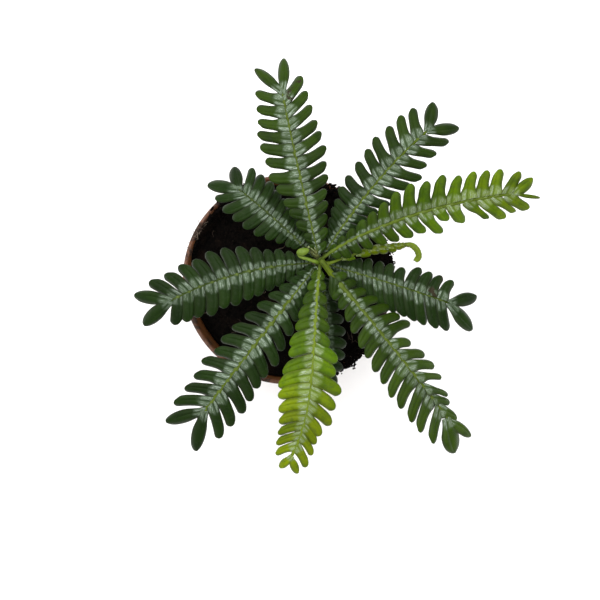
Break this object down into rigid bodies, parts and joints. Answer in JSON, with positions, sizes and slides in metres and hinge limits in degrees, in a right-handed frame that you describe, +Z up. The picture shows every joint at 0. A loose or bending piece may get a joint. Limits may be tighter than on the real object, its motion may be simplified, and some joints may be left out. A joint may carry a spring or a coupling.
{
  "type": "potted plant",
  "caption": "Small potted plant: a low, palm-like rosette of feathery dark and lime green leaves on a short bare stem, in a round terracotta-brown nursery pot with soil.",
  "frame": {"origin": "centre of the pot's flat underside", "axes": "+Z up along the pot's axis; seen from above, +X points right and +Y points up the page, so the long lime green leaf points between +X and +Y"},
  "size_m": [0.1346, 0.1371, 0.1103],
  "materials": {
    "pot_plastic": "dull terracotta-brown moulded plastic, stained with soil on the lip",
    "soil": "damp black peat soil with fine fibres",
    "stem": "green-brown bare stem with old leaf scars",
    "leaf_dark": "dark green leaflets with a silvery sheen near the midrib",
    "leaf_lime": "young lime green leaflets with a pale sheen near the midrib",
    "bud": "smooth yellow-green bud"
  },
  "bodies": {
    "root": {"pot": "pot_plastic", "soil": "soil", "stem": "stem", "leaf_top": "leaf_dark", "leaf_upper_right": "leaf_dark", "leaf_right_lime": "leaf_lime", "leaf_right_low": "leaf_dark", "leaf_lower_right": "leaf_dark", "leaf_bottom_lime": "leaf_lime", "leaf_shaded_small": "leaf_dark", "leaf_lower_left": "leaf_dark", "leaf_left": "leaf_dark", "leaf_upper_left": "leaf_dark", "leaf_young_curled": "leaf_lime", "flower_bud": "bud"}
  },
  "joints": []
}
